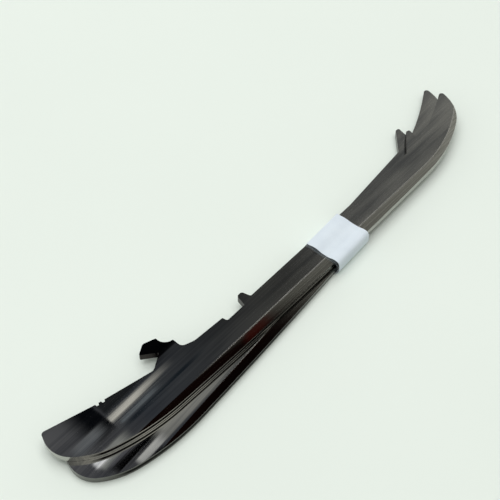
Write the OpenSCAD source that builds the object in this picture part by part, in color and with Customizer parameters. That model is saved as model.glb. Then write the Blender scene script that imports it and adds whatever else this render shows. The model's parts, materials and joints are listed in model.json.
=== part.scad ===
// Pair of hockey skate runners, stacked flat, fanned and held by a taped paper label.
// X runs from heel to toe, Y from the ice edges to the holder side, Z up from the table.
// The origin is on the table, on the axis about which the two plates fan inside the band.
// A plate's own outline is drawn with its origin at the lowest point of the rocker.

/* [Plate] */
// Overall length of a plate, from the heel's end to the sharp tip of the toe
plate_len = 280.7; // [250:0.1:320]
// Length of a plate from the heel's end to the lowest point of its ice edge
heel_len = 150.5; // [135:0.1:170]
// Thickness of each steel plate
plate_t = 3.8; // [3:0.1:5]
// Height of the plate's middle, from the ice edge to the top edge
mid_h = 16.4; // [14:0.2:20]

/* [Ice edge] */
// Radius of the long rocker
rocker_r = 3000; // [2200:50:4500]
// Radius of the long sweep up to the heel
heel_sweep_r = 118; // [95:1:140]
// Slope of the edge where the heel sweep ends, in degrees
heel_sweep_a = 18.6; // [15:0.2:22]
// Radius of the tighter turn after the heel sweep
heel_turn_r = 38; // [32:1:46]
// Slope of the edge where the heel turn ends, in degrees
heel_turn_a = 45.5; // [40:0.5:52]
// Radius of the heel's end
heel_end_r = 13; // [10:0.5:16]
// Slope of the edge where the heel's end goes over into its straight back, in degrees
heel_end_a = 112; // [105:1:118]
// Radius of the long sweep up to the toe
toe_sweep_r = 85; // [70:1:105]
// Slope of the edge where the toe sweep ends, in degrees
toe_sweep_a = 27; // [23:0.5:32]
// Radius of the tighter turn up to the toe's tip
toe_turn_r = 24; // [20:0.5:28]
// Slope of the edge where the toe turn ends, in degrees
toe_turn_a = 73; // [67:1:79]

/* [Grinding] */
// Height of the ground bevel along the ice edge
bevel_h = 4.8; // [3:0.1:6]
// Depth of the bevel at the ice edge, on each side
bevel_d = 0.45; // [0.2:0.05:0.8]
// Radius of the hollow ground along the ice edge
hollow_r = 12.7; // [9:0.1:25]
// Flat land left on each side of the hollow
hollow_land = 0.2; // [0.1:0.05:0.5]

/* [Heel seat] */
// Straight length of the heel's back, to its sharp corner
heel_back = 4.2; // [2.5:0.1:7]
// Rounding of the heel's top corner
heel_round = 1.6; // [0.6:0.1:2.5]
// Length of the heel's straight seat, from its sharp corner to the first notch
heel_seat = 25.3; // [20:0.1:30]
// Fall of the heel's seat towards the toe, in degrees
heel_seat_a = 16.3; // [13:0.1:18]
// Width of each of the two notches
notch_w = 1.7; // [1:0.1:3]
// Depth of the notches
notch_depth = 1; // [0.5:0.1:1.5]
// Width of the nub that stands between the notches
nub_w = 1.2; // [0.8:0.1:3]

/* [Hook] */
// Distance of the throat's inner end from the rocker's lowest point, towards the heel
hook_from_low = 87; // [75:1:95]
// Height of the throat's inner end above the top edge
throat_h = 9.7; // [7:0.1:12]
// Length of the throat's sloping floor
throat_len = 8; // [6:0.1:10]
// Fall of the throat's floor, from its inner end
throat_drop = 4.75; // [3:0.05:6]
// Rounding where the throat's floor meets the seat
throat_round = 3; // [1:0.1:5]
// Reach of the beak over the throat
beak_len = 7.1; // [5:0.1:9]
// Height of the beak's tip above the throat's inner end
beak_rise = 5.5; // [4:0.1:7]
// Distance of the crown's peak from the throat's inner end, towards the heel
crown_back = 1.9; // [0.5:0.1:3.5]
// Height of the crown's peak above the throat's inner end
crown_rise = 8.5; // [7.5:0.1:10]
// Distance of the ear from the throat's inner end, towards the toe
ear_len = 4.2; // [3.5:0.1:6]
// Height of the ear above the throat's inner end
ear_rise = 6.25; // [5:0.1:7]
// Distance of the spur from the throat's inner end, towards the toe
spur_len = 8.9; // [8:0.1:11]
// Height of the spur above the throat's inner end
spur_rise = 0.2; // [-1:0.1:1.5]
// Radius of the scoop between the ear and the spur
scoop_r = 5.1; // [4.8:0.1:9]
// Height of the spur's back
spur_back = 5.3; // [3.5:0.1:6]

/* [Rail and tab] */
// Distance from the throat's inner end to the start of the rail
rail_start = 15; // [13:0.5:18]
// Height of the rail above the top edge, at its start
rail_start_h = 2.4; // [1.6:0.1:3]
// Length of the rail
rail_len = 17; // [12:0.5:22]
// Height of the rail above the top edge, at its end
rail_end_h = 1.4; // [0.5:0.1:2]
// Length of the dip between the rail and the tab
dip_len = 12; // [8:0.5:16]
// Depth of the dip below the top edge
dip_depth = 1.2; // [0.5:0.1:2]
// Width of the tab at its foot
tab_w = 5.6; // [4.5:0.1:8]
// Height of the tab above the top edge
tab_h = 4.6; // [3:0.1:6]
// Lean of the tab's sides at its top
tab_lean = 1.3; // [0.6:0.1:1.8]
// Rounding of the tab's top corners
tab_round = 1.2; // [0.4:0.1:1.6]

/* [Toe] */
// Straight length of the toe's front, to its sharp tip
toe_front = 6.2; // [4.5:0.1:8]
// Rounding of the toe's tip
tip_round = 1.6; // [0.8:0.1:2]
// Radius of the hollow upper edge between the prong and the tip
brow_r = 170; // [100:5:400]
// Distance of the prong's foot from the toe's sharp tip
prong_from_tip = 48.8; // [44:0.2:55]
// Reach of the prong's tip from its foot
prong_len = 12; // [9:0.1:14]
// Height of the prong's tip above the top edge
prong_h = 9.3; // [7:0.1:11]
// Width of the prong's blunt tip
prong_tip_w = 2.1; // [1.8:0.1:3.5]
// Width of the prong at its foot
prong_w = 11.6; // [10:0.1:14]
// Rounding of the prong's tip
prong_round = 0.9; // [0.3:0.1:1.2]

/* [Band] */
// Distance of the band's middle from the rocker's lowest point, towards the toe
band_from_low = 15; // [0:1:30]
// Thickness of the paper label
label_t = 0.15; // [0.1:0.05:0.4]
// Width of the paper label
label_w = 24; // [16:0.5:30]
// Thickness of the clear tape
tape_t = 0.1; // [0.05:0.05:0.3]
// Width of the clear tape
tape_w = 24; // [16:0.5:30]
// Distance that the tape sticks out past the label, towards the heel
tape_out = 1.6; // [0.5:0.1:4]
// Gap between the faces that slide on each other
slide_gap = 0.1; // [0.05:0.05:0.3]
// Gap left beside the plates when the band stops them
side_gap = 0.1; // [0.05:0.05:0.5]
// Slack of the band beside the ice edges
ice_slack = 1.4; // [0.5:0.1:2.5]
// Rise of the band's slack over the upper plate's face
face_slack = 0.6; // [0.2:0.05:1.2]
// Rise of the band's slack over the upper plate's bevel
bevel_slack = 0.85; // [0.2:0.05:1.5]
// Width of the strip where the band lies close on the upper plate's face
band_flat = 2.7; // [1:0.1:5]

/* [Fan] */
// Angle between the two plates, as they lie
fan = 4.7; // [2:0.1:7]
// Distance that the lower plate lies nearer to the toe
lower_ahead = 2.1; // [0:0.1:4]

/* [Hidden] */

// Largest turn between two points of a rounding and of an ice-edge arc, in degrees
round_step = 15;
edge_step = 3;
// Least number of points on an ice-edge arc
edge_least = 12;
// Number of flats along the hollow, and round the circles that the grinding follows
hollow_steps = 24;
hollow_flats = 240;
// Share of a straight side that a rounding may take, next to a sharp and to a rounded corner
side_share = 0.95;
half_share = 0.48;
// Margin by which a cutting solid reaches past what it cuts
over = 5;
// Small roundings of the plate's corners, and of the band's folds
plate_round = 0.5;
fold_round = 0.2;
// Number of steps along each rise of the band, and round its end beside the ice edges
rise_steps = 10;
end_steps = 20;
// Power that squares off the band's end beside the ice edges: 1 gives an ellipse
end_power = 2 / 3;
// Distance of the band's crown from the ice edges, towards the top edges
crown_in = 0.8;
half_turn = 180;

steel = "dimgray";
paper = "whitesmoke";
film = [0.85, 0.9, 0.9, 0.5];

function unit(v) = v / norm(v);
function flat(p) = [p.x, p.y];
function turned(p, a) = [p.x * cos(a) - p.y * sin(a), p.x * sin(a) + p.y * cos(a)];

// Points of a chain of tangent arcs that climbs from p: each arc is [radius, slope at its end]
function climb(p, slope, arcs, side, i = 0) =
    i == len(arcs) ? [] :
    let (
        r = arcs[i][0],
        end_slope = arcs[i][1],
        count = max(edge_least, ceil((end_slope - slope) / edge_step)),
        run = [for (k = [1:count])
            let (s = slope + (end_slope - slope) * k / count)
            p + r * [side * (sin(s) - sin(slope)), cos(slope) - cos(s)]]
    )
    concat(run, climb(run[count - 1], end_slope, arcs, side, i + 1));

// Points between p and q of a circle's arc of radius r that bulges to the left of the way from p to q
function bow(p, q, r, count) =
    let (
        half = norm(q - p) / 2,
        along = unit(q - p),
        left = [-along.y, along.x],
        centre = (p + q) / 2 - left * sqrt(r * r - half * half),
        sweep = 2 * asin(half / r)
    )
    [for (k = [1:count - 1]) centre + turned(p - centre, -sweep * k / count)];

// The corner b between its neighbours a and c, rounded with the radius in b's third place
function corner(a, b, c) =
    b[2] == 0 ? [flat(b)] :
    let (
        to_a = flat(a) - flat(b),
        to_c = flat(c) - flat(b),
        half = acos(unit(to_a) * unit(to_c)) / 2,
        room_a = norm(to_a) * (a[2] == 0 ? side_share : half_share),
        room_c = norm(to_c) * (c[2] == 0 ? side_share : half_share),
        r = min(b[2], min(room_a, room_c) * tan(half)),
        centre = flat(b) + unit(unit(to_a) + unit(to_c)) * r / sin(half),
        first = flat(b) + unit(to_a) * r / tan(half) - centre,
        way = cross(to_a, to_c) < 0 ? 1 : -1,
        sweep = half_turn - 2 * half,
        count = ceil(sweep / round_step)
    )
    [for (k = [0:count]) centre + turned(first, way * sweep * k / count)];

// A closed path of [x, y, radius] points, with its corners rounded
function rounded(path) =
    let (n = len(path))
    [for (i = [0:n - 1]) each corner(path[(i + n - 1) % n], path[i], path[(i + 1) % n])];

function sharp(points) = [for (p = points) [p.x, p.y, 0]];
function reversed(points) = [for (i = [len(points) - 1:-1:0]) points[i]];

// Length along X that a chain of tangent arcs covers, from slope 0: each arc is [radius, slope at its end]
function reach(arcs, i = 0) =
    i == len(arcs) ? 0 :
    arcs[i][0] * (sin(arcs[i][1]) - (i == 0 ? 0 : sin(arcs[i - 1][1]))) + reach(arcs, i + 1);

// Ice edge: the rocker takes up the length that the sweeps and turns leave over
heel_bends = [[heel_sweep_r, heel_sweep_a], [heel_turn_r, heel_turn_a], [heel_end_r, 90]];
toe_bends = [[toe_sweep_r, toe_sweep_a], [toe_turn_r, toe_turn_a]];
toe_len = plate_len - heel_len - toe_front * cos(toe_turn_a);
rocker_heel = (heel_len - reach(heel_bends)) / (1 - heel_sweep_r / rocker_r);
rocker_toe = (toe_len - reach(toe_bends)) / (1 - toe_sweep_r / rocker_r);
rocker_heel_a = asin(rocker_heel / rocker_r);
rocker_toe_a = asin(rocker_toe / rocker_r);

// It runs from the rocker's lowest point back to the heel, and forward to the toe
heel_arcs = [
    [rocker_r, rocker_heel_a],
    [heel_sweep_r, heel_sweep_a],
    [heel_turn_r, heel_turn_a],
    [heel_end_r, heel_end_a]
];
toe_arcs = concat([[rocker_r, rocker_toe_a]], toe_bends);
heel_edge = climb([0, 0], 0, heel_arcs, -1);
toe_edge = climb([0, 0], 0, toe_arcs, 1);
heel_stop = heel_edge[len(heel_edge) - 1];
toe_stop = toe_edge[len(toe_edge) - 1];
heel_corner = heel_stop + heel_back * [-cos(heel_end_a), sin(heel_end_a)];
toe_tip = toe_stop + toe_front * [cos(toe_turn_a), sin(toe_turn_a)];

// Toe: the prong leans towards the tip, and the brow runs from its root to the tip
prong_foot = [toe_tip.x - prong_from_tip, mid_h];
prong_top = prong_foot + [prong_len, prong_h];
prong_nose = prong_top + [prong_tip_w, -prong_tip_w / 4];
prong_root = prong_foot + [prong_w, prong_tip_w / 5];
brow_points = 7;
toe_path = concat(
    [[toe_tip.x, toe_tip.y, tip_round]],
    sharp(bow(toe_tip, prong_root, brow_r, brow_points)),
    [
        [prong_root.x, prong_root.y, plate_round],
        [prong_nose.x, prong_nose.y, prong_round],
        [prong_top.x, prong_top.y, prong_round],
        [prong_foot.x, prong_foot.y, 2 * plate_round]
    ]
);

// Hook: all its points are set from the inner end of its throat
throat = [-hook_from_low, mid_h + throat_h];
spur = throat + [spur_len, spur_rise];
ear = throat + [ear_len, ear_rise];
crown = throat + [-crown_back, crown_rise];
beak = throat + [-beak_len, beak_rise];
throat_mouth = throat + [-throat_len, -throat_drop];
rail_foot = [throat.x + rail_start, mid_h + rail_start_h];
rail_end = [rail_foot.x + rail_len, mid_h + rail_end_h];
dip_y = mid_h - dip_depth;
tab_x = rail_end.x + dip_len;
tab_top = mid_h + tab_h;
scoop_points = 6;
top_path = concat(
    [
        [tab_x + tab_w, mid_h, 2 * plate_round],
        [tab_x + tab_w - tab_lean, tab_top, tab_round],
        [tab_x + tab_lean, tab_top, tab_round],
        [tab_x, dip_y, plate_round],
        [rail_end.x + plate_round, dip_y, 2 * plate_round],
        [rail_end.x, rail_end.y, plate_round],
        [rail_foot.x, rail_foot.y, rail_start / 2],
        [spur.x, spur.y - spur_back, spur_back / 2],
        [spur.x, spur.y, plate_round]
    ],
    sharp(bow(spur, ear, scoop_r, scoop_points)),
    [
        [ear.x, ear.y, plate_round],
        [crown.x, crown.y, 4 * plate_round],
        [beak.x, beak.y, plate_round],
        [throat.x, throat.y, plate_round],
        [throat_mouth.x, throat_mouth.y, throat_round]
    ]
);

// Seat: it falls from the heel's corner to the first notch, and less steeply from there to the throat
seat_end = heel_corner + heel_seat * [cos(heel_seat_a), -sin(heel_seat_a)];
seat_dir = unit(throat_mouth - seat_end);
seat_in = [seat_dir.y, -seat_dir.x];
function on_seat(along, depth) = seat_end + seat_dir * along + seat_in * depth;
notch_floor = notch_w * 0.6;
notch_side = (notch_w - notch_floor) / 2;
function notch(along) = sharp([
    on_seat(along + notch_w, 0),
    on_seat(along + notch_side + notch_floor, notch_depth),
    on_seat(along + notch_side, notch_depth),
    on_seat(along, 0)
]);
heel_path = concat(
    notch(notch_w + nub_w),
    notch(0),
    [[heel_corner.x, heel_corner.y, heel_round]]
);

outline = rounded(concat(
    sharp(reversed(heel_edge)),
    [[0, 0, 0]],
    sharp(toe_edge),
    toe_path,
    top_path,
    heel_path
));

// Grinding: a bevel on each face, straight along the rocker and turned round the toe, where it runs out, and
// a hollow that fades out where the edge sweeps up
bevel_slope = bevel_d / bevel_h;
bevel_reach = bevel_h + over;
bevel_drop = bevel_slope * bevel_reach;
edge_t = plate_t - 2 * bevel_d;
hollow_half = edge_t / 2 - hollow_land;
hollow_depth = hollow_r - sqrt(hollow_r * hollow_r - hollow_half * hollow_half);
hollow_span = rocker_heel_a + rocker_toe_a;

module bevel_cut() {
    translate([heel_corner.x - over, bevel_h, plate_t])
        rotate([90, 0, 90])
            linear_extrude(rocker_toe - heel_corner.x + over)
                polygon([[0, 0], [-bevel_reach, -bevel_drop], [-bevel_reach, over], [0, over]]);
    translate([rocker_toe, bevel_h + toe_sweep_r, plate_t])
        rotate([0, 0, -90])
            rotate_extrude(angle = toe_turn_a, $fn = hollow_flats)
                translate([toe_sweep_r, 0])
                    polygon([[0, 0], [bevel_reach, -bevel_drop], [bevel_reach, over], [0, over]]);
}

module hollow_cut() {
    translate([0, rocker_r, plate_t / 2])
        rotate([0, 0, -90 - rocker_heel_a])
            rotate_extrude(angle = hollow_span, $fn = hollow_steps * 360 / hollow_span)
                translate([rocker_r + hollow_r - hollow_depth, 0])
                    circle(r = hollow_r, $fn = hollow_flats);
}

module runner() {
    difference() {
        linear_extrude(plate_t) polygon(outline);
        bevel_cut();
        translate([0, 0, plate_t]) mirror([0, 0, 1]) bevel_cut();
        hollow_cut();
    }
}

// Stack, from the table up: label, tape, lower plate, upper plate, tape, label
band_floor = label_t + tape_t;
lower_z = band_floor + slide_gap;
upper_z = lower_z + plate_t + slide_gap;
band_roof = upper_z + plate_t + slide_gap;

module placed(height, angle, ahead) {
    translate([ahead, 0, height])
        rotate([0, 0, angle])
            translate([-band_from_low, -mid_h / 2, 0]) runner();
}

// The band clears the plates at half the fan angle to either side
tape_reach = max(label_w / 2 + tape_out, label_w / 2, tape_w - label_w / 2 - tape_out);
swing = tape_reach * tan(fan / 2) + side_gap;
band_top = mid_h / 2 + swing;
band_ice = mid_h / 2 + swing + ice_slack;
crease_y = bevel_h - mid_h / 2;
flat_y = crease_y + band_flat;
crown_y = crown_in - mid_h / 2;
crown_z = band_roof + bevel_slack;
end_z = (crown_z + band_floor) / 2;
end_h = (crown_z - band_floor) / 2;
end_w = band_ice + crown_y;

// Loop across the plates: flat below and folded sharply over the top edges, with one rise over the face and
// another over the bevel, which goes over into a blunt round end beside the ice edges
face_rise = [for (k = [1:rise_steps])
    [band_top + (flat_y - band_top) * k / rise_steps,
        band_roof + face_slack * (1 - cos(2 * half_turn * k / rise_steps)) / 2]];
bevel_rise = [for (k = [0:rise_steps - 1])
    [crease_y + (crown_y - crease_y) * k / rise_steps,
        band_roof + bevel_slack * (1 - cos(half_turn * k / rise_steps)) / 2]];
ice_end = [for (k = [0:end_steps])
    let (up = cos(half_turn * k / end_steps), out = sin(half_turn * k / end_steps))
    [crown_y - end_w * pow(out, end_power), end_z + end_h * sign(up) * pow(abs(up), end_power)]];
band_loop = rounded(concat(
    [[band_top, band_floor, fold_round], [band_top, band_roof, fold_round]],
    sharp(face_rise),
    sharp(bevel_rise),
    sharp(ice_end)
));

// A closed path that runs anticlockwise, moved outwards by grow
function grown(points, grow) =
    let (n = len(points))
    [for (i = [0:n - 1])
        let (along = unit(points[(i + 1) % n] - points[(i + n - 1) % n]))
        points[i] + grow * [along.y, -along.x]];

module band(start, width, inside, wall) {
    translate([start, 0, 0])
        rotate([90, 0, 90])
            linear_extrude(width)
                difference() {
                    polygon(grown(band_loop, inside + wall));
                    polygon(grown(band_loop, inside));
                }
}

module lower_runner() {
    color(steel) placed(lower_z, fan / 2, lower_ahead);
}

module clear_tape() {
    color(film) band(-label_w / 2 - tape_out, tape_w, 0, tape_t);
}

module paper_label() {
    color(paper) band(-label_w / 2, label_w, tape_t, label_t);
}

module upper_runner() {
    color(steel) placed(upper_z, -fan / 2, 0);
}

lower_runner();
clear_tape();
paper_label();
upper_runner();
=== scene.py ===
import json
import math

import bpy
import numpy as np
from mathutils import Matrix, Vector


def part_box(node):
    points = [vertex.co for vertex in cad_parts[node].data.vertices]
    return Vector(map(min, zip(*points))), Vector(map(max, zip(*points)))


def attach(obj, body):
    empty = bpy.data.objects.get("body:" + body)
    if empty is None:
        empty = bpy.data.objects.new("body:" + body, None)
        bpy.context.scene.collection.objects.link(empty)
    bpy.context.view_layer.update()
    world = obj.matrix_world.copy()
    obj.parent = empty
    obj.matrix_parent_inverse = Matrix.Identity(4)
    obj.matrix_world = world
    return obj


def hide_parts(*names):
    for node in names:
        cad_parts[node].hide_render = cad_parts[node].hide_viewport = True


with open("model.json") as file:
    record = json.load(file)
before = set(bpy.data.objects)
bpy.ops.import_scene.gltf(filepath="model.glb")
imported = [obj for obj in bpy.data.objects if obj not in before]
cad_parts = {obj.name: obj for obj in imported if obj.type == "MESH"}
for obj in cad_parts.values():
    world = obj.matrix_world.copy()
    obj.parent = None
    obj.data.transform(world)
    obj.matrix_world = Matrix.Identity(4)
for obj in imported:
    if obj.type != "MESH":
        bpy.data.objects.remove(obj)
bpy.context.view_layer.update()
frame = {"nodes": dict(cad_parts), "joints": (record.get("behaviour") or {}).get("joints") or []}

# Lower runner: one stamped plate of hardened stainless steel, ground flat on both faces, with a bevel
# and a hollow ground along its ice edge. It lies in the bottom of the band and carries the upper plate.
MM = 0.001
half_fan = math.radians(frame["joints"][0]["range_deg"][1]) / 2
lower_ahead = 2.1
# The lower plate's ice-edge rims and heel end are darker than the upper's, a painted shade
lower_rim_shaded, lower_heel_rim_shaded = "#5e5e59", "#6c6c68"
# Sizes of a plate in mm: the middle of the band, along and up from the lowest point of the ice edge, the
# height of the bevel, and where the toe's sweep starts and its radius
band_along, band_up = 15.0, 8.2
bevel_height = 4.8
rocker_toe, toe_sweep = 80.0, 85.0


def linear(hex_colour):
    """sRGB hex colour as linear red, green, blue and alpha, by the sRGB transfer curve."""
    parts = [int(hex_colour[i:i + 2], 16) / 255 for i in (1, 3, 5)]
    return [p / 12.92 if p <= 0.04045 else ((p + 0.055) / 1.055) ** 2.4 for p in parts] + [1.0]


def add_node(tree, kind, links=None, ramp=(), **settings):
    """Adds one node: settings are its properties, links gives each input a value or another output, and
    ramp gives the places and sRGB colours of a colour ramp."""
    made = tree.nodes.new("ShaderNode" + kind)
    for place, colour in ramp[2:]:
        made.color_ramp.elements.new(place)
    for number, (place, colour) in enumerate(ramp):
        made.color_ramp.elements[number].position = place
        made.color_ramp.elements[number].color = linear(colour)
    for key, value in settings.items():
        setattr(made, key, value)
    for key, value in (links or {}).items():
        if isinstance(value, bpy.types.NodeSocket):
            tree.links.new(value, made.inputs[key])
        else:
            made.inputs[key].default_value = value
    return made


def new_material(name):
    """An empty node material and its tree."""
    material = bpy.data.materials.new(name)
    material.use_nodes = True
    material.node_tree.nodes.clear()
    return material, material.node_tree


def ground_stainless(name, turn, ahead, mid_height, rim, heel_rim):
    """Hardened stainless steel, surface ground along the plate and used: a near mirror at the heel that
    grows dull towards the toe, with long grind lines, a ground bevel, a rougher crease line painted pale as a
    highlight, and a painted shade, a dark line in the hollow between the two rims of its ice edge. turn,
    ahead and mid_height place the plate, and rim and heel_rim are the sRGB colours of those rims and of the
    worn heel end, paler for the upper plate as painted light and darker for the lower one as painted shade."""
    material, tree = new_material(name)
    coords = add_node(tree, "TexCoord")
    # The plate's own frame in mm: X from the lowest point of the ice edge to the toe, Y up from the ice
    # edge and Z from the middle of its thickness
    shift = (Matrix.Rotation(-turn, 3, "Z") @ Vector((-ahead, 0, 0))
             + Vector((band_along, band_up, -mid_height)))
    plate = add_node(tree, "Mapping", {"Vector": coords.outputs["Object"], "Location": shift,
                                       "Rotation": (0, 0, -turn),
                                       "Scale": (1 / MM, 1 / MM, 1 / MM)}).outputs["Vector"]
    axes = add_node(tree, "SeparateXYZ", {"Vector": plate})
    along, up, off_middle = (axes.outputs[axis] for axis in "XYZ")

    # Grind lines are about 0.05 mm apart on the real plate, and drawn 0.5 mm apart so that they show
    line_length, line_gap = 60.0, 0.5
    grain = add_node(tree, "Mapping", {"Vector": plate,
                                       "Scale": (1 / line_length, 1 / line_gap, 1 / line_gap)})
    lines = add_node(tree, "TexNoise", {"Vector": grain.outputs["Vector"], "Scale": 1.0, "Detail": 2.5,
                                        "Roughness": 0.6}).outputs["Fac"]
    # Long waves left by the grinding wheel, a little askew
    wave_length, wave_width, wave_turn = 110.0, 5.0, math.radians(-4)
    wave_map = add_node(tree, "Mapping", {"Vector": plate, "Rotation": (0, 0, wave_turn),
                                          "Scale": (1 / wave_length, 1 / wave_width, 1 / wave_width)})
    waves = add_node(tree, "TexNoise", {"Vector": wave_map.outputs["Vector"], "Scale": 1.0,
                                        "Detail": 2.0}).outputs["Fac"]
    # Smears of wiping and handling
    smear_length, smear_width = 56.0, 14.0
    wipe = add_node(tree, "Mapping", {"Vector": plate,
                                      "Scale": (1 / smear_length, 1 / smear_width, 1 / smear_width)})
    smear = add_node(tree, "TexNoise", {"Vector": wipe.outputs["Vector"], "Scale": 1.0,
                                        "Detail": 3.0}).outputs["Fac"]

    # Where the bevel is: it runs along the ice edge, and turns up round the toe as part of a cone
    bevel_soft = 0.1
    past_rocker = add_node(tree, "Math", {0: along, 1: rocker_toe}, operation="SUBTRACT")
    toe_x = add_node(tree, "Math", {0: past_rocker.outputs["Value"], 1: 0.0}, operation="MAXIMUM")
    toe_y = add_node(tree, "Math", {0: bevel_height + toe_sweep, 1: up}, operation="SUBTRACT")
    toe_arm = add_node(tree, "CombineXYZ", {"X": toe_x.outputs["Value"], "Y": toe_y.outputs["Value"]})
    toe_reach = add_node(tree, "VectorMath", {0: toe_arm.outputs["Vector"]}, operation="LENGTH")
    below_crease = add_node(tree, "Math", {0: toe_reach.outputs["Value"], 1: toe_sweep},
                            operation="SUBTRACT").outputs["Value"]
    on_bevel = add_node(tree, "MapRange", {"Value": below_crease, "From Min": 0.0, "From Max": bevel_soft})
    # The crease at its top gets a thin line, rougher and painted pale as a highlight, from about the hook to
    # the toe
    crease_line_edge, crease_line_core = 0.45, 0.15
    crease_line_start, crease_line_full = -90.0, -50.0
    crease_gap = add_node(tree, "Math", {0: below_crease}, operation="ABSOLUTE")
    by_crease = add_node(tree, "MapRange", {"Value": crease_gap.outputs["Value"],
                                            "From Min": crease_line_edge, "From Max": crease_line_core})
    on_crease = add_node(tree, "MapRange", {"Value": along, "From Min": crease_line_start,
                                            "From Max": crease_line_full, "To Min": 0.0,
                                            "To Max": by_crease.outputs["Result"]}).outputs["Result"]

    # Cut edges are all that stands well off the level, by the upward part of the surface normal
    edge_start, edge_full = 0.7, 0.3
    facing = add_node(tree, "NewGeometry")
    normal = add_node(tree, "SeparateXYZ", {"Vector": facing.outputs["True Normal"]})
    level = add_node(tree, "Math", {0: normal.outputs["Z"]}, operation="ABSOLUTE")
    on_edge = add_node(tree, "MapRange", {"Value": level.outputs["Value"], "From Min": edge_start,
                                          "From Max": edge_full}).outputs["Result"]

    # Roughness: grind lines on a plate that is duller towards the toe, along the crease and on its edges
    dull_start, dull_full = -75.0, 40.0
    toe_roughness, crease_roughness, edge_roughness = 0.13, 0.3, 0.2
    fine_line, coarse_line = 0.008, 0.03
    dull = add_node(tree, "MapRange", {"Value": along, "From Min": dull_start, "From Max": dull_full,
                                       "To Min": 0.0, "To Max": toe_roughness},
                    interpolation_type="SMOOTHSTEP")
    grit = add_node(tree, "MapRange", {"Value": lines, "From Min": 0.3, "From Max": 0.7,
                                       "To Min": fine_line, "To Max": coarse_line})
    face_gloss = add_node(tree, "Math", {0: dull.outputs["Result"], 1: grit.outputs["Result"]},
                          operation="ADD")
    worn_gloss = add_node(tree, "MapRange", {"Value": on_crease, "To Min": face_gloss.outputs["Value"],
                                             "To Max": crease_roughness})
    gloss = add_node(tree, "MapRange", {"Value": on_edge, "To Min": worn_gloss.outputs["Result"],
                                        "To Max": edge_roughness})

    # Colour of the faces: smears, waves and fainter grind lines, with a ground bevel below a crease line
    # painted pale as a highlight
    smear_dark, smear_pale = "#86888b", "#bdbdbb"
    bevel_dark, bevel_pale = "#94948f", "#bdbdb7"
    painted_crease_highlight = "#d6d5d0"
    line_share = 0.5
    streaked = add_node(tree, "Math", {0: smear, 1: waves}, operation="ADD")
    lined = add_node(tree, "Math", {0: lines, 1: line_share, 2: streaked.outputs["Value"]},
                     operation="MULTIPLY_ADD")
    patches = add_node(tree, "MapRange", {"Value": lined.outputs["Value"], "From Min": 1.05,
                                          "From Max": 1.45})
    face_tone = add_node(tree, "Mix", {"Factor": patches.outputs["Result"], "A": linear(smear_dark),
                                       "B": linear(smear_pale)}, data_type="RGBA")
    cut = add_node(tree, "MapRange", {"Value": lines, "From Min": 0.35, "From Max": 0.65})
    bevel_tone = add_node(tree, "Mix", {"Factor": cut.outputs["Result"], "A": linear(bevel_dark),
                                        "B": linear(bevel_pale)}, data_type="RGBA")
    ground = add_node(tree, "Mix", {"Factor": on_bevel.outputs["Result"], "A": face_tone.outputs["Result"],
                                    "B": bevel_tone.outputs["Result"]}, data_type="RGBA")
    creased = add_node(tree, "Mix", {"Factor": on_crease, "A": ground.outputs["Result"],
                                     "B": linear(painted_crease_highlight)}, data_type="RGBA")

    # Colour of the edges: dark on the holder side; on the ice side pale rims with a painted shade between
    # them, a dark line in the hollow in the heel half; and pale at the worn heel end, lighter on the upper
    # plate as painted light and darker on the lower as painted shade, but not on the heel's seat, which faces
    # the holder
    heel_tone_end, heel_tone_start = -146.0, -137.0
    ice_side_top, ice_side_full = 15.5, 11.5
    hollow_end, hollow_full = -10.0, -45.0
    hollow_middle, hollow_edge, hollow_core = 0.12, 1.0, 0.8
    seat_start, seat_full = 0.2, 0.6
    holder_edge, painted_hollow_shade = "#2b2624", "#161615"
    off_heel = add_node(tree, "MapRange", {"Value": along, "From Min": heel_tone_end,
                                           "From Max": heel_tone_start}).outputs["Result"]
    on_ice_side = add_node(tree, "MapRange", {"Value": up, "From Min": ice_side_top,
                                              "From Max": ice_side_full}).outputs["Result"]
    off_toe = add_node(tree, "MapRange", {"Value": along, "From Min": hollow_end, "From Max": hollow_full,
                                          "To Min": 0.0, "To Max": off_heel})
    on_rocker = add_node(tree, "Math", {0: off_toe.outputs["Result"], 1: on_ice_side},
                         operation="MULTIPLY")
    off_hollow = add_node(tree, "Math", {0: off_middle, 1: hollow_middle}, operation="SUBTRACT")
    hollow_gap = add_node(tree, "Math", {0: off_hollow.outputs["Value"]}, operation="ABSOLUTE")
    hollow_shade_mask = add_node(tree, "MapRange", {"Value": hollow_gap.outputs["Value"],
                                            "From Min": hollow_edge, "From Max": hollow_core,
                                            "To Min": 0.0,
                                            "To Max": on_rocker.outputs["Value"]}).outputs["Result"]
    ice_edge = add_node(tree, "Mix", {"Factor": hollow_shade_mask, "A": linear(rim), "B": linear(painted_hollow_shade)},
                        data_type="RGBA")
    cut_edge = add_node(tree, "Mix", {"Factor": on_ice_side, "A": linear(holder_edge),
                                      "B": ice_edge.outputs["Result"]}, data_type="RGBA")
    on_seat = add_node(tree, "MapRange", {"Value": normal.outputs["Y"], "From Min": seat_start,
                                          "From Max": seat_full})
    off_heel_tone = add_node(tree, "Math", {0: off_heel, 1: on_seat.outputs["Result"]}, operation="MAXIMUM")
    edge_tone = add_node(tree, "Mix", {"Factor": off_heel_tone.outputs["Value"], "A": linear(heel_rim),
                                       "B": cut_edge.outputs["Result"]}, data_type="RGBA")
    colour = add_node(tree, "Mix", {"Factor": on_edge, "A": creased.outputs["Result"],
                                    "B": edge_tone.outputs["Result"]}, data_type="RGBA")
    # At a glancing angle steel turns pale, but less so in the hollow, a painted shade that darkens it further
    glancing, glancing_hollow_shaded = "#ffffff", "#bcbcbc"
    sheen = add_node(tree, "Mix", {"Factor": hollow_shade_mask, "A": linear(glancing),
                                   "B": linear(glancing_hollow_shaded)}, data_type="RGBA")

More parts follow.
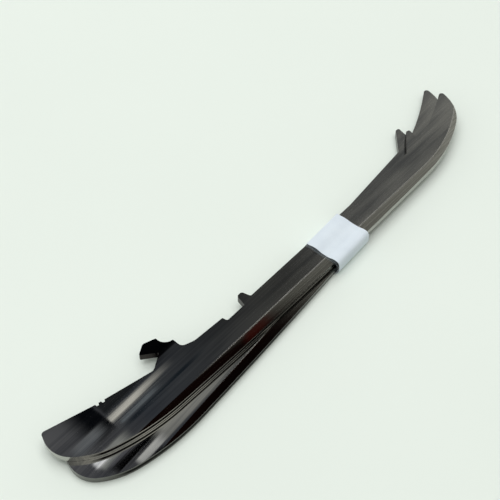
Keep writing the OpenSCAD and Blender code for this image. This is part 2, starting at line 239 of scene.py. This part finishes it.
    wave_depth, line_depth = 0.006, 0.0001
    swell = add_node(tree, "Bump", {"Height": waves, "Strength": 1.0, "Distance": wave_depth * MM})
    relief = add_node(tree, "Bump", {"Height": lines, "Strength": 1.0, "Distance": line_depth * MM,
                                     "Normal": swell.outputs["Normal"]})
    steel = add_node(tree, "BsdfPrincipled", {"Base Color": colour.outputs["Result"], "Metallic": 1.0,
                                              "Roughness": gloss.outputs["Result"],
                                              "Specular Tint": sheen.outputs["Result"],
                                              "Normal": relief.outputs["Normal"]})
    add_node(tree, "OutputMaterial", {"Surface": steel.outputs["BSDF"]})
    return material


def dress(node_name, material):
    """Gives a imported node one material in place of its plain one."""
    slots = frame["nodes"][node_name].data.materials
    slots.clear()
    slots.append(material)


lower_low, lower_high = (np.array(corner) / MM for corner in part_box("lower_runner"))
lower_mid = (lower_low[2] + lower_high[2]) / 2
dress("lower_runner", ground_stainless("ground_stainless_lower", half_fan, lower_ahead, lower_mid,
                                       lower_rim_shaded, lower_heel_rim_shaded))

# Upper runner: a second plate of the same make, laid on the first one and fanned the other way.
# Nothing fastens it but the band round both plates.
upper_ahead = 0.0
# The upper plate's ice-edge rims and heel end are paler than the lower's, painted light on top of the wear at
# the heel
upper_rim_lit, upper_heel_rim_lit = "#b0b0aa", "#b4b4ae"
upper_low, upper_high = (np.array(corner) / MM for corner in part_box("upper_runner"))
upper_mid = (upper_low[2] + upper_high[2]) / 2
dress("upper_runner", ground_stainless("ground_stainless_upper", -half_fan, upper_ahead, upper_mid,
                                       upper_rim_lit, upper_heel_rim_lit))

# Clear tape: one turn of polypropylene packing tape round both plates, under the label. It sticks out past
# the label towards the heel, and stands off the plates where it was not pulled tight.
tape_low, tape_high = (np.array(corner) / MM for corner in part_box("clear_tape"))
tape_wall = 0.1
label_gap = 0.02
tape_bow, tape_bows = 0.12, 3
# The band's loop in mm: its inside, how far it rises off the upper face and over the bevel at its heel edge,
# and how much less at its toe edge
band_top = tape_high[1] - tape_wall
band_ice = tape_low[1] + tape_wall
band_floor = tape_low[2] + tape_wall
band_crown = tape_high[2] - tape_wall
face_slack, face_fall = 0.85, 0.45
bevel_slack, bevel_fall = 0.85, 0.2
band_roof = band_crown - bevel_slack
# Where the rise over the bevel starts, how far above it the wave over the face ends, and the crown
crease_y = bevel_height - band_up
flat_width = 2.7
flat_y = crease_y + flat_width
crown_height = 0.8
crown_y = crown_height - band_up
fold_round = 0.25
end_power = 2 / 3
fold_steps, wave_steps, end_steps = 9, 60, 90
loop_stations = 420
ribbon_steps = 33
sharp_angle = math.radians(40)


def band_loop(face_rise, bevel_rise):
    """The band's loop across the plates in Y and Z, in mm, as a dense closed path that runs up the top edges
    and over the faces to the ice edges: two quarter-circle folds, one full cosine wave over the upper face, a
    flat, half a cosine wave up to the crown, and half of a blunt ellipse down to the table. Its stations are
    evenly spaced."""
    turn = np.linspace(0, math.pi / 2, fold_steps)
    low_fold = np.column_stack([band_top - fold_round + fold_round * np.sin(turn),
                                band_floor + fold_round - fold_round * np.cos(turn)])
    high_fold = np.column_stack([band_top - fold_round + fold_round * np.cos(turn),
                                 band_roof - fold_round + fold_round * np.sin(turn)])
    step = np.linspace(0, 1, wave_steps)[1:]
    start = band_top - fold_round
    face = np.column_stack([start + (flat_y - start) * step,
                            band_roof + face_rise * (1 - np.cos(2 * math.pi * step)) / 2])
    crown_z = band_roof + bevel_rise
    bevel = np.column_stack([crease_y + (crown_y - crease_y) * step,
                             band_roof + bevel_rise * (1 - np.cos(math.pi * step)) / 2])
    sweep = np.linspace(0, math.pi, end_steps)[1:]
    middle, half = (crown_z + band_floor) / 2, (crown_z - band_floor) / 2
    end = np.column_stack([crown_y + (band_ice - crown_y) * np.sin(sweep).clip(0) ** end_power,
                           middle + half * np.sign(np.cos(sweep)) * np.abs(np.cos(sweep)) ** end_power])
    path = np.vstack([low_fold, high_fold, face, bevel, end, low_fold[:1]])
    travelled = np.concatenate([[0], np.cumsum(np.linalg.norm(np.diff(path, axis=0), axis=1))])
    stations = np.linspace(0, travelled[-1], loop_stations, endpoint=False)
    return np.column_stack([np.interp(stations, travelled, path[:, k]) for k in (0, 1)])


def ribbon(name, inside, wall, near, far):
    """A closed ribbon of the band: at each step from its heel edge (near) to its toe edge (far), given in X
    for each station of the loop, the loop is moved outwards along its normals by inside, and by inside plus
    wall. The rises are taller at the heel edge than at the toe edge. Both sheets and the two edges form one
    grid that is closed both ways."""
    across = np.linspace(0, 1, ribbon_steps)
    loops = np.array([band_loop(face_slack - face_fall * t, bevel_slack - bevel_fall * t) for t in across])
    along = np.roll(loops, -1, axis=1) - np.roll(loops, 1, axis=1)
    normal = np.dstack([along[..., 1], -along[..., 0]]) / np.linalg.norm(along, axis=2, keepdims=True)
    x = near[None, :] + (far - near)[None, :] * across[:, None]
    inner, outer = (np.dstack([x, loops + offset * normal]) for offset in (inside, inside + wall))
    grid = np.concatenate([outer, inner[::-1]])
    index = np.arange(grid.shape[0] * grid.shape[1]).reshape(grid.shape[:2])
    beside = np.roll(index, -1, axis=0)
    faces = np.stack([index, beside, np.roll(beside, -1, axis=1), np.roll(index, -1, axis=1)], axis=-1)
    mesh = bpy.data.meshes.new(name)
    mesh.from_pydata((grid.reshape(-1, 3) * MM).tolist(), [], faces.reshape(-1, 4).tolist())
    mesh.shade_smooth()
    mesh.set_sharp_from_angle(angle=sharp_angle)
    piece = bpy.data.objects.new(name, mesh)
    bpy.context.scene.collection.objects.link(piece)
    return piece


around = np.linspace(0, 2 * math.pi, loop_stations, endpoint=False)
tape = ribbon("clear_tape_turn", 0.0, tape_wall - label_gap,
              tape_low[0] + tape_bow * (1 + np.sin(tape_bows * around)),
              np.full(loop_stations, tape_high[0]))

# Clear polypropylene film: see-through, with a plain gloss and a faint haze where it was touched
haze_patch = 5 * MM
film, film_tree = new_material("clear_polypropylene_film")
film_coords = add_node(film_tree, "TexCoord")
film_haze = add_node(film_tree, "TexNoise", {"Vector": film_coords.outputs["Object"],
                                             "Scale": 1 / haze_patch}).outputs["Fac"]
film_gloss = add_node(film_tree, "MapRange", {"Value": film_haze, "To Min": 0.08, "To Max": 0.3})
# The film is tinted a dark grey-blue, a painted shade for the dark line it shows along the label's edge
film_colour = add_node(film_tree, "Mix", {"Factor": film_haze, "A": linear("#838c92"),
                                          "B": linear("#99a2a6")}, data_type="RGBA")
film_shader = add_node(film_tree, "BsdfPrincipled", {"Base Color": film_colour.outputs["Result"],
                                                     "IOR": 1.49, "Alpha": 0.1,
                                                     "Roughness": film_gloss.outputs["Result"]})
add_node(film_tree, "OutputMaterial", {"Surface": film_shader.outputs["BSDF"]})
tape.data.materials.append(film)
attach(tape, "band")
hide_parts("clear_tape")

# Paper label: a strip of white label paper wrapped over the tape, round both plates. It is folded sharply
# over the plates' top edges, rises off their faces in two soft waves and is left blank.
label_low, label_high = (np.array(corner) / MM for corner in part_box("paper_label"))
label_wall = 0.15
label_wave = 0.06
heel_waves, heel_phase = 2, 0.6
toe_waves, toe_phase = 3, 2.0
label = ribbon("paper_label_wrap", tape_wall, label_wall,
               label_low[0] + label_wave * (1 + np.sin(heel_waves * around + heel_phase)),
               label_high[0] - label_wave * (1 + np.sin(toe_waves * around + toe_phase)))

# Uncoated white label paper: matt, a little blue, with faint fibres and soft rubbed patches
fibre_width = 0.35 * MM
fibre_relief = 0.02 * MM
rubbed_patch = 9 * MM
paper, paper_tree = new_material("white_label_paper")
paper_coords = add_node(paper_tree, "TexCoord")
fibres = add_node(paper_tree, "TexNoise", {"Vector": paper_coords.outputs["Object"],
                                           "Scale": 1 / fibre_width, "Detail": 4.0}).outputs["Fac"]
rubbed = add_node(paper_tree, "TexNoise", {"Vector": paper_coords.outputs["Object"],
                                           "Scale": 1 / rubbed_patch}).outputs["Fac"]
paper_mix = add_node(paper_tree, "Math", {0: fibres, 1: rubbed}, operation="MULTIPLY")
paper_tone = add_node(paper_tree, "MapRange", {"Value": paper_mix.outputs["Value"], "From Min": 0.1,
                                               "From Max": 0.45})
paper_colour = add_node(paper_tree, "Mix", {"Factor": paper_tone.outputs["Result"],
                                            "A": linear("#d3dde6"), "B": linear("#dfe8ef")},
                        data_type="RGBA")
paper_relief = add_node(paper_tree, "Bump", {"Height": fibres, "Strength": 0.2, "Distance": fibre_relief})
paper_shader = add_node(paper_tree, "BsdfPrincipled", {"Base Color": paper_colour.outputs["Result"],
                                                       "Roughness": 0.8,
                                                       "Normal": paper_relief.outputs["Normal"]})
add_node(paper_tree, "OutputMaterial", {"Surface": paper_shader.outputs["BSDF"]})
label.data.materials.append(paper)
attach(label, "band")
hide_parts("paper_label")

# Table: a plain pale laminate top that the pair lies on, a hair below the band so that the two don't meet.
# It is the stage and not part of the object.
table_half = 4.0
table_drop = 0.05 * MM
table_mesh = bpy.data.meshes.new("table")
table_mesh.from_pydata([(-table_half, -table_half, -table_drop), (table_half, -table_half, -table_drop),
                        (table_half, table_half, -table_drop), (-table_half, table_half, -table_drop)],
                       [], [(0, 1, 2, 3)])
table = bpy.data.objects.new("table", table_mesh)
bpy.context.scene.collection.objects.link(table)

# White laminate: satin, with hardly visible clouds
cloud_patch = 170 * MM
laminate, laminate_tree = new_material("white_laminate")
laminate_coords = add_node(laminate_tree, "TexCoord")
laminate_cloud = add_node(laminate_tree, "TexNoise", {"Vector": laminate_coords.outputs["Object"],
                                                      "Scale": 1 / cloud_patch})
laminate_colour = add_node(laminate_tree, "Mix", {"Factor": laminate_cloud.outputs["Fac"],
                                                  "A": linear("#e4ece5"), "B": linear("#e9f1ea")},
                           data_type="RGBA")
laminate_shader = add_node(laminate_tree, "BsdfPrincipled", {"Base Color": laminate_colour.outputs["Result"],
                                                             "Roughness": 0.6})
add_node(laminate_tree, "OutputMaterial", {"Surface": laminate_shader.outputs["BSDF"]})
table_mesh.materials.append(laminate)

# Light: a room with pale walls and a dim ceiling, which the steel mirrors, and one large soft lamp overhead,
# a little to the holder side, so that the pair has a short soft shadow on the ice side.
world = bpy.data.worlds.new("room")
bpy.context.scene.world = world
world.use_nodes = True
room = world.node_tree
room.nodes.clear()
room_coords = add_node(room, "TexCoord")
toward = add_node(room, "SeparateXYZ", {"Vector": room_coords.outputs["Generated"]})
upward, sideward = toward.outputs["Z"], toward.outputs["Y"]
# A plan of the ceiling, one unit above the table: a direction meets it at X / Z along and Y / Z across the
# plates. Below the least rise the plan would run to infinity.
least_rise = 0.05
rise = add_node(room, "Math", {0: upward, 1: least_rise}, operation="MAXIMUM").outputs["Value"]
plan_x, plan_y = (add_node(room, "Math", {0: toward.outputs[axis], 1: rise},
                           operation="DIVIDE").outputs["Value"] for axis in "XY")


def lay(below, bounds, above):
    """Lays one colour over another within bounds, each of which is a value, where it starts to count and
    where it counts in full, with a smooth step between them."""
    mask = 1.0
    for value, start, full in bounds:
        inside = add_node(room, "MapRange", {"Value": value, "From Min": start, "From Max": full},
                          interpolation_type="SMOOTHSTEP")
        mask = add_node(room, "Math", {0: mask, 1: inside.outputs["Result"]},
                        operation="MULTIPLY").outputs["Value"]
    laid = add_node(room, "Mix", {"Factor": mask, "A": below, "B": above}, data_type="RGBA")
    return laid.outputs["Result"]


def lay_patch(below, along, across, colour, gain):
    """Lays a soft rectangle of the plan over a colour: along and across each give where it starts to show,
    where it is full, where it is full no more and where it ends, and gain is how many times as bright as its
    sRGB colour it is."""
    sides = [(plan_x, *along[:2]), (plan_x, *along[:1:-1]), (plan_y, *across[:2]), (plan_y, *across[:1:-1])]
    return lay(below, sides, [gain * part for part in linear(colour)])


# The walls grow darker upwards, and the room is dimmer low down on the ice side
walls = add_node(room, "ValToRGB", {"Fac": upward}, ramp=[
    (0.0, "#e2e4e0"), (0.35, "#cfd0cc"), (0.6, "#b2b2ae"), (0.75, "#9c9c99"),
    (1.0, "#8a8b8a")]).outputs["Color"]
low_ice_side = [(sideward, -0.3, -0.75), (upward, 0.62, 0.4)]
walls = lay(walls, low_ice_side, linear("#868684"))

# What the faces mirror from the heel to the toe, then what the bevels mirror, with a dark slanting beam
# beside it, and a dark ceiling past them
over_faces = add_node(room, "ValToRGB", {"Fac": plan_x}, ramp=[
    (0.25, "#6c6d70"), (0.31, "#57585b"), (0.36, "#464a50"), (0.5, "#484949"), (0.6, "#53534f"),
    (0.72, "#676764"), (0.85, "#74746f"), (0.97, "#868680")]).outputs["Color"]
over_bevels = add_node(room, "ValToRGB", {"Fac": plan_x}, ramp=[
    (0.5, "#7a7a74"), (0.66, "#adada6"), (0.9, "#b6b6b0")]).outputs["Color"]
beam_slope = 8.0
slant = add_node(room, "Math", {0: plan_y, 1: beam_slope, 2: plan_x},
                 operation="MULTIPLY_ADD").outputs["Value"]
ceiling = lay(linear("#160a08"), [(slant, 2.085, 2.175)], over_bevels)
ceiling = lay(ceiling, [(plan_y, 0.27, 0.36)], over_faces)
ceiling = lay(linear("#262624"), [(plan_y, -0.1, 0.1)], ceiling)

ceiling_patches = {
    # Caught by the rough crease line only
    "lamp_tube": ((0.2, 0.3, 0.62, 0.75), (0.265, 0.28, 0.315, 0.33), "#ffffff", 1.3),
    # Mirrored by the upper face, or by both
    "pale_toe": ((0.78, 0.86, 1.5, 1.6), (0.428, 0.452, 0.8, 0.9), "#92928d", 1.0),
    "dark_doorway": ((0.285, 0.312, 0.326, 0.328), (0.435, 0.455, 0.6, 0.7), "#101216", 1.0),
    "dark_board": ((0.327, 0.332, 0.375, 0.43), (0.4605, 0.466, 0.6, 0.7), "#2c2e30", 1.0),
    "bright_strip": ((0.3265, 0.3285, 0.355, 0.43), (0.449, 0.4535, 0.4555, 0.4605), "#f4f1e6", 1.0),
    "dark_rail": ((0.325, 0.35, 0.42, 0.48), (0.4325, 0.4355, 0.4375, 0.4405), "#20282f", 1.0),
    "dim_rail": ((0.331, 0.337, 0.37, 0.4), (0.4395, 0.4425, 0.4455, 0.4485), "#70777c", 1.0),
    "dark_over_hook": ((0.385, 0.41, 0.44, 0.47), (0.461, 0.469, 0.6, 0.7), "#07080a", 1.0),
    "pale_heel": ((0.265, 0.285, 0.302, 0.325), (0.447, 0.4515, 0.4575, 0.4635), "#8f9294", 1.0),
    # Mirrored by the lower bevel only, and by the upper bevel only
    "dark_beam": ((0.35, 0.42, 0.58, 0.61), (0.1, 0.14, 0.189, 0.193), "#100807", 1.0),
    "red_board": ((0.452, 0.47, 0.487, 0.51), (0.196, 0.2, 0.206, 0.21), "#45150f", 1.0),
    # Mirrored by the lower face only
    "pale_band": ((0.28, 0.286, 0.312, 0.335), (0.418, 0.421, 0.43, 0.436), "#b4b6b0", 1.0),
    "heel_glint": ((0.277, 0.283, 0.292, 0.303), (0.4225, 0.427, 0.43, 0.436), "#ffffff", 1.5),
    "dim_board": ((0.285, 0.295, 0.33, 0.36), (0.413, 0.416, 0.419, 0.422), "#76767a", 1.0),
    "black_beam": ((0.281, 0.296, 0.345, 0.375), (0.4025, 0.4048, 0.4135, 0.416), "#030304", 1.0),
    "pale_board": ((0.335, 0.36, 0.42, 0.5), (0.392, 0.397, 0.405, 0.4085), "#a6a6a0", 1.0),
    "pale_end": ((0.308, 0.316, 0.338, 0.358), (0.3935, 0.396, 0.4, 0.403), "#e9e9e4", 1.0),
    "dark_margin": ((0.29, 0.3, 0.334, 0.346), (0.37, 0.375, 0.3905, 0.394), "#0a0a0b", 1.0)}
for patch in ceiling_patches.values():
    ceiling = lay_patch(ceiling, *patch)
above_plates = [(upward, 0.58, 0.68), (plan_x, 0.14, 0.25), (plan_y, -0.85, -0.65)]
everywhere = lay(walls, above_plates, ceiling)

# A window behind the camera, in two halves, which the pale heel end and the rims of the upper ice edge catch
# by way of the lower plate
windows = {
    "heel_half": ((-0.6, -0.45, 0.0, 0.08), (-0.72, -0.6, -0.32, -0.24), "#f6f4ec", 1.0),
    "toe_half": ((-0.02, 0.06, 0.36, 0.46), (-0.95, -0.85, -0.26, -0.18), "#f6f4ec", 1.0)}
for patch in windows.values():
    everywhere = lay_patch(everywhere, *patch)
room_light = add_node(room, "Background", {"Color": everywhere, "Strength": 1.0})
add_node(room, "OutputWorld", {"Surface": room_light.outputs["Background"]})

lamp = bpy.data.lights.new("soft_key", "AREA")
lamp.shape = "SQUARE"
lamp.size = 2.2
lamp.energy = 37.0
lamp_object = bpy.data.objects.new("soft_key", lamp)
lamp_place = Vector((0.1, 0.35, 2.0))
lamp_aim = lamp_place.to_track_quat("Z", "Y").to_matrix().to_4x4()
lamp_object.matrix_world = Matrix.Translation(lamp_place) @ lamp_aim
lamp_object.visible_glossy = False  # the steel mirrors the room only, so no view of it is blown out
bpy.context.scene.collection.objects.link(lamp_object)

# Camera: where the photograph was taken from, above the heel on the ice side, looking towards the toe.
# Its place, turn and focal length come from a fit in which both plates have the same outline.
camera_place = (-0.26952, -0.16561, 0.40621)
look_azimuth, look_elevation, roll = (math.radians(angle) for angle in (50.924, -52.448, 0.458))
sensor_mm = 36.0
focal_px = 1064.7
frame_px = 500
camera_data = bpy.data.cameras.new("camera")
camera_data.sensor_width = sensor_mm
camera_data.lens = sensor_mm * focal_px / frame_px
camera_data.clip_start = 10 * MM
camera = bpy.data.objects.new("camera", camera_data)
bpy.context.scene.collection.objects.link(camera)
look_level = math.cos(look_elevation)
look_along = Vector((math.sin(look_azimuth) * look_level, math.cos(look_azimuth) * look_level,
                     math.sin(look_elevation)))
look = look_along.to_track_quat("-Z", "Y").to_matrix().to_4x4()
camera.matrix_world = Matrix.Translation(camera_place) @ look @ Matrix.Rotation(roll, 4, "Z")
bpy.context.scene.camera = camera
bpy.context.scene.view_settings.view_transform = "Standard"
